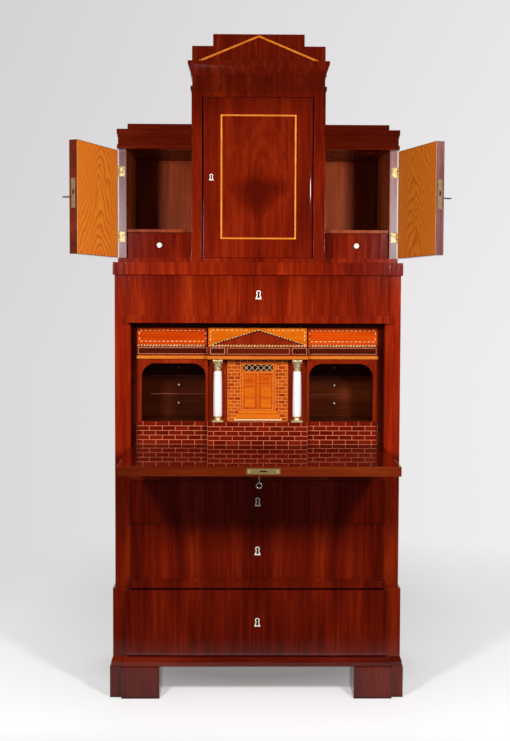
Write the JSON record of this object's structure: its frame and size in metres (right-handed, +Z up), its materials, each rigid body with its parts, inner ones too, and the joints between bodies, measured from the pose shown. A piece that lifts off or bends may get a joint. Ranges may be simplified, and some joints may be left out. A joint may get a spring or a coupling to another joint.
{
  "type": "fall-front escritoire",
  "caption": "Tall mahogany fall-front writing cabinet with drawers, a temple-fronted inner gallery, and a stepped tower cupboard between low hinged side cupboards.",
  "frame": {"origin": "on the floor, under the middle of the bounding box with the fall front down", "axes": "+Z up, -Y towards the front, +X to the right of someone facing the front"},
  "size_m": [1.2099, 0.8081, 2.159],
  "materials": {
    "mahogany": "gloss",
    "softwood": "matte",
    "satinwood": "gloss",
    "brick_veneer": "gloss",
    "alabaster": "satin",
    "brass": "satin",
    "steel": "satin",
    "bone": "satin"
  },
  "bodies": {
    "case": {"back_panel": "softwood", "brick_plinths": "brick_veneer", "cabinet_base": "mahogany", "case_posts": "mahogany", "case_sides": "mahogany", "column_bases": "brass", "column_capitals": "brass", "column_shafts": "alabaster", "dust_boards": "softwood", "feet": "mahogany", "flap_rail": "mahogany", "gallery_arches": "mahogany", "gallery_case": "mahogany", "gallery_entablature": "mahogany", "main_cornice": "mahogany", "pedestal_cheeks": "mahogany", "plinth_moulding": "mahogany", "tower_case": "mahogany", "tower_cornice": "mahogany", "tower_pediment": "mahogany", "wing_case_left": "mahogany", "wing_case_right": "mahogany", "wing_cornices": "mahogany", "wing_hinge_leaves": "brass", "writing_ceiling": "mahogany", "writing_floor": "mahogany"},
    "wing_door_left": {"wing_door_left": "mahogany", "wing_fittings_left": "brass"},
    "wing_key_left": {"wing_key_left": "steel"},
    "wing_drawer_left": {"wing_drawer_left": "mahogany", "wing_knob_left": "bone"},
    "wing_door_right": {"wing_door_right": "mahogany", "wing_fittings_right": "brass"},
    "wing_key_right": {"wing_key_right": "steel"},
    "wing_drawer_right": {"wing_drawer_right": "mahogany", "wing_knob_right": "bone"},
    "flap": {"flap_panel": "mahogany", "flap_pivots": "brass", "flap_lock": "brass"},
    "flap_key": {"flap_key": "steel"},
    "tower_door": {"tower_door": "mahogany", "tower_door_pivots": "brass"},
    "gallery_door": {"gallery_door": "satinwood"},
    "frieze_drawer": {"frieze_drawer_front": "mahogany", "frieze_drawer_box": "softwood"},
    "drawer_one": {"drawer_one_front": "mahogany", "drawer_one_box": "softwood"},
    "drawer_two": {"drawer_two_front": "mahogany", "drawer_two_box": "softwood"},
    "drawer_three": {"drawer_three_front": "mahogany", "drawer_three_box": "softwood"},
    "gallery_drawer_left": {"gallery_drawer_left": "satinwood"},
    "gallery_drawer_centre": {"gallery_drawer_centre": "satinwood"},
    "gallery_drawer_right": {"gallery_drawer_right": "satinwood"},
    "niche_drawer_left_low": {"niche_drawer_left_low": "mahogany"},
    "niche_drawer_left_middle": {"niche_drawer_left_middle": "mahogany"},
    "niche_drawer_left_top": {"niche_drawer_left_top": "mahogany"},
    "niche_drawer_right_low": {"niche_drawer_right_low": "mahogany"},
    "niche_drawer_right_middle": {"niche_drawer_right_middle": "mahogany"},
    "niche_drawer_right_top": {"niche_drawer_right_top": "mahogany"}
  },
  "joints": [
    {"name": "wing_door_left_hinge", "type": "hinge", "parent": "case", "child": "wing_door_left", "pos_m": [-0.4552, 0.02775, 1.444], "axis": [0, 0, -1], "range_deg": [-115, 58]},
    {"name": "wing_key_left_turn", "type": "hinge", "parent": "wing_door_left", "child": "wing_key_left", "pos_m": [-0.57027, -0.15218, 1.6225], "axis": [-0.9063, 0.4226, 0], "range_deg": [0, 180]},
    {"name": "wing_drawer_left_slide", "type": "slide", "parent": "case", "child": "wing_drawer_left", "axis": [0, -1, 0], "range_m": [0, 0.2]},
    {"name": "wing_door_right_hinge", "type": "hinge", "parent": "case", "child": "wing_door_right", "pos_m": [0.4552, 0.02775, 1.444], "axis": [0, 0, 1], "range_deg": [-111, 62]},
    {"name": "wing_key_right_turn", "type": "hinge", "parent": "wing_door_right", "child": "wing_key_right", "pos_m": [0.55744, -0.15976, 1.6225], "axis": [0.9336, 0.3584, 0], "range_deg": [0, 180]},
    {"name": "wing_drawer_right_slide", "type": "slide", "parent": "case", "child": "wing_drawer_right", "axis": [0, -1, 0], "range_m": [0, 0.2]},
    {"name": "flap_hinge", "type": "hinge", "parent": "case", "child": "flap", "pos_m": [0, 0.0165, 0.815], "axis": [1, 0, 0], "range_deg": [-91.2, 0]},
    {"name": "flap_key_turn", "type": "hinge", "parent": "flap", "child": "flap_key", "pos_m": [0, -0.36411, 0.79252], "axis": [0, -0.0209, 0.9998], "range_deg": [0, 180]},
    {"name": "tower_door_hinge", "type": "hinge", "parent": "case", "child": "tower_door", "pos_m": [0.1665, 0.012, 1.444], "axis": [0, 0, 1], "range_deg": [0, 90]},
    {"name": "gallery_door_hinge", "type": "hinge", "parent": "case", "child": "gallery_door", "pos_m": [-0.096, 0.086, 0.9055], "axis": [0, 0, -1], "range_deg": [0, 90]},
    {"name": "frieze_drawer_slide", "type": "slide", "parent": "case", "child": "frieze_drawer", "axis": [0, -1, 0], "range_m": [0, 0.3]},
    {"name": "drawer_one_slide", "type": "slide", "parent": "case", "child": "drawer_one", "axis": [0, -1, 0], "range_m": [0, 0.3]},
    {"name": "drawer_two_slide", "type": "slide", "parent": "case", "child": "drawer_two", "axis": [0, -1, 0], "range_m": [0, 0.3]},
    {"name": "drawer_three_slide", "type": "slide", "parent": "case", "child": "drawer_three", "axis": [0, -1, 0], "range_m": [0, 0.3]},
    {"name": "gallery_drawer_left_slide", "type": "slide", "parent": "case", "child": "gallery_drawer_left", "axis": [0, -1, 0], "range_m": [0, 0.18]},
    {"name": "gallery_drawer_centre_slide", "type": "slide", "parent": "case", "child": "gallery_drawer_centre", "axis": [0, -1, 0], "range_m": [0, 0.18]},
    {"name": "gallery_drawer_right_slide", "type": "slide", "parent": "case", "child": "gallery_drawer_right", "axis": [0, -1, 0], "range_m": [0, 0.18]},
    {"name": "niche_drawer_left_low_slide", "type": "slide", "parent": "case", "child": "niche_drawer_left_low", "axis": [0, -1, 0], "range_m": [0, 0.08]},
    {"name": "niche_drawer_left_middle_slide", "type": "slide", "parent": "case", "child": "niche_drawer_left_middle", "axis": [0, -1, 0], "range_m": [0, 0.08]},
    {"name": "niche_drawer_left_top_slide", "type": "slide", "parent": "case", "child": "niche_drawer_left_top", "axis": [0, -1, 0], "range_m": [0, 0.08]},
    {"name": "niche_drawer_right_low_slide", "type": "slide", "parent": "case", "child": "niche_drawer_right_low", "axis": [0, -1, 0], "range_m": [0, 0.08]},
    {"name": "niche_drawer_right_middle_slide", "type": "slide", "parent": "case", "child": "niche_drawer_right_middle", "axis": [0, -1, 0], "range_m": [0, 0.08]},
    {"name": "niche_drawer_right_top_slide", "type": "slide", "parent": "case", "child": "niche_drawer_right_top", "axis": [0, -1, 0], "range_m": [0, 0.08]}
  ]
}
